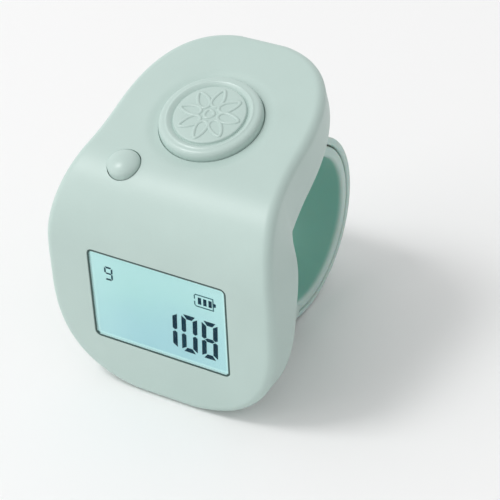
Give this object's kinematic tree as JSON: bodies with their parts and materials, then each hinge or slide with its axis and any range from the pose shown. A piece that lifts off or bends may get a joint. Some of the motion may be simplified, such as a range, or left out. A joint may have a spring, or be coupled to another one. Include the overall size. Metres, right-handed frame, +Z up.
{
  "type": "digital finger tally counter",
  "caption": "Bent plastic head with a small digital display on its upright leg and a large round button and small button on its sloping leg, worn on a finger by two overlapping soft straps.",
  "frame": {"origin": "on the surface the counter stands on, in the middle of its overall width and depth", "axes": "+Z up, -Y the way the display faces, +X to the viewer's right when looking at the display, along the finger hole"},
  "size_m": [0.029, 0.0346, 0.034],
  "materials": {
    "shell_plastic": "pale grey-green satin moulded plastic",
    "button_plastic": "pale grey-green satin moulded plastic",
    "strap_silicone": "soft matt silicone rubber, slightly greener than the shell",
    "window_clear": "clear glossy plastic pane",
    "display_face": "pale cyan liquid crystal display face",
    "white_plastic": "white plastic",
    "black_plastic": "black plastic",
    "black_rubber": "striped contact rubber",
    "board_laminate": "green lacquered circuit board",
    "amber_film": "amber flexible circuit film",
    "cell_steel": "plated steel button cell",
    "contact_brass": "plated spring brass",
    "fastener_steel": "plated steel"
  },
  "bodies": {
    "counter": {"front_shell": "shell_plastic", "back_cover": "shell_plastic", "window_lens": "window_clear", "display_glass": "display_face", "backlight_plate": "white_plastic", "display_frame": "black_plastic", "display_board": "board_laminate", "contact_strip": "black_rubber", "count_switch": "black_plastic", "reset_switch": "black_plastic", "key_board": "board_laminate", "controller_chip": "black_plastic", "button_cell": "cell_steel", "cap_contact": "contact_brass", "can_contact": "contact_brass", "board_film": "amber_film", "inner_strap": "strap_silicone", "outer_strap": "strap_silicone", "lower_pin": "fastener_steel", "upper_pin": "fastener_steel", "cover_screw_1": "fastener_steel", "cover_screw_2": "fastener_steel", "cover_screw_3": "fastener_steel", "cover_screw_4": "fastener_steel"},
    "count_button": {"count_button": "button_plastic"},
    "count_plunger": {"count_plunger": "white_plastic"},
    "reset_button": {"reset_button": "button_plastic"},
    "reset_plunger": {"reset_plunger": "white_plastic"}
  },
  "joints": [
    {"name": "count_press", "type": "slide", "parent": "counter", "child": "count_button", "axis": [0, 0.304, -0.9527], "range_m": [0, 0.0004], "stiffness_N_per_m": 2500},
    {"name": "count_plunger_press", "type": "slide", "parent": "counter", "child": "count_plunger", "axis": [0, 0.304, -0.9527], "range_m": [0, 0.0004]},
    {"name": "reset_press", "type": "slide", "parent": "counter", "child": "reset_button", "axis": [0, 0.304, -0.9527], "range_m": [0, 0.0003], "stiffness_N_per_m": 3000},
    {"name": "reset_plunger_press", "type": "slide", "parent": "counter", "child": "reset_plunger", "axis": [0, 0.304, -0.9527], "range_m": [0, 0.0003]}
  ],
  "couplings": [
    {"joint": "count_plunger_press", "follows": "count_press", "ratio": 1},
    {"joint": "reset_plunger_press", "follows": "reset_press", "ratio": 1}
  ]
}
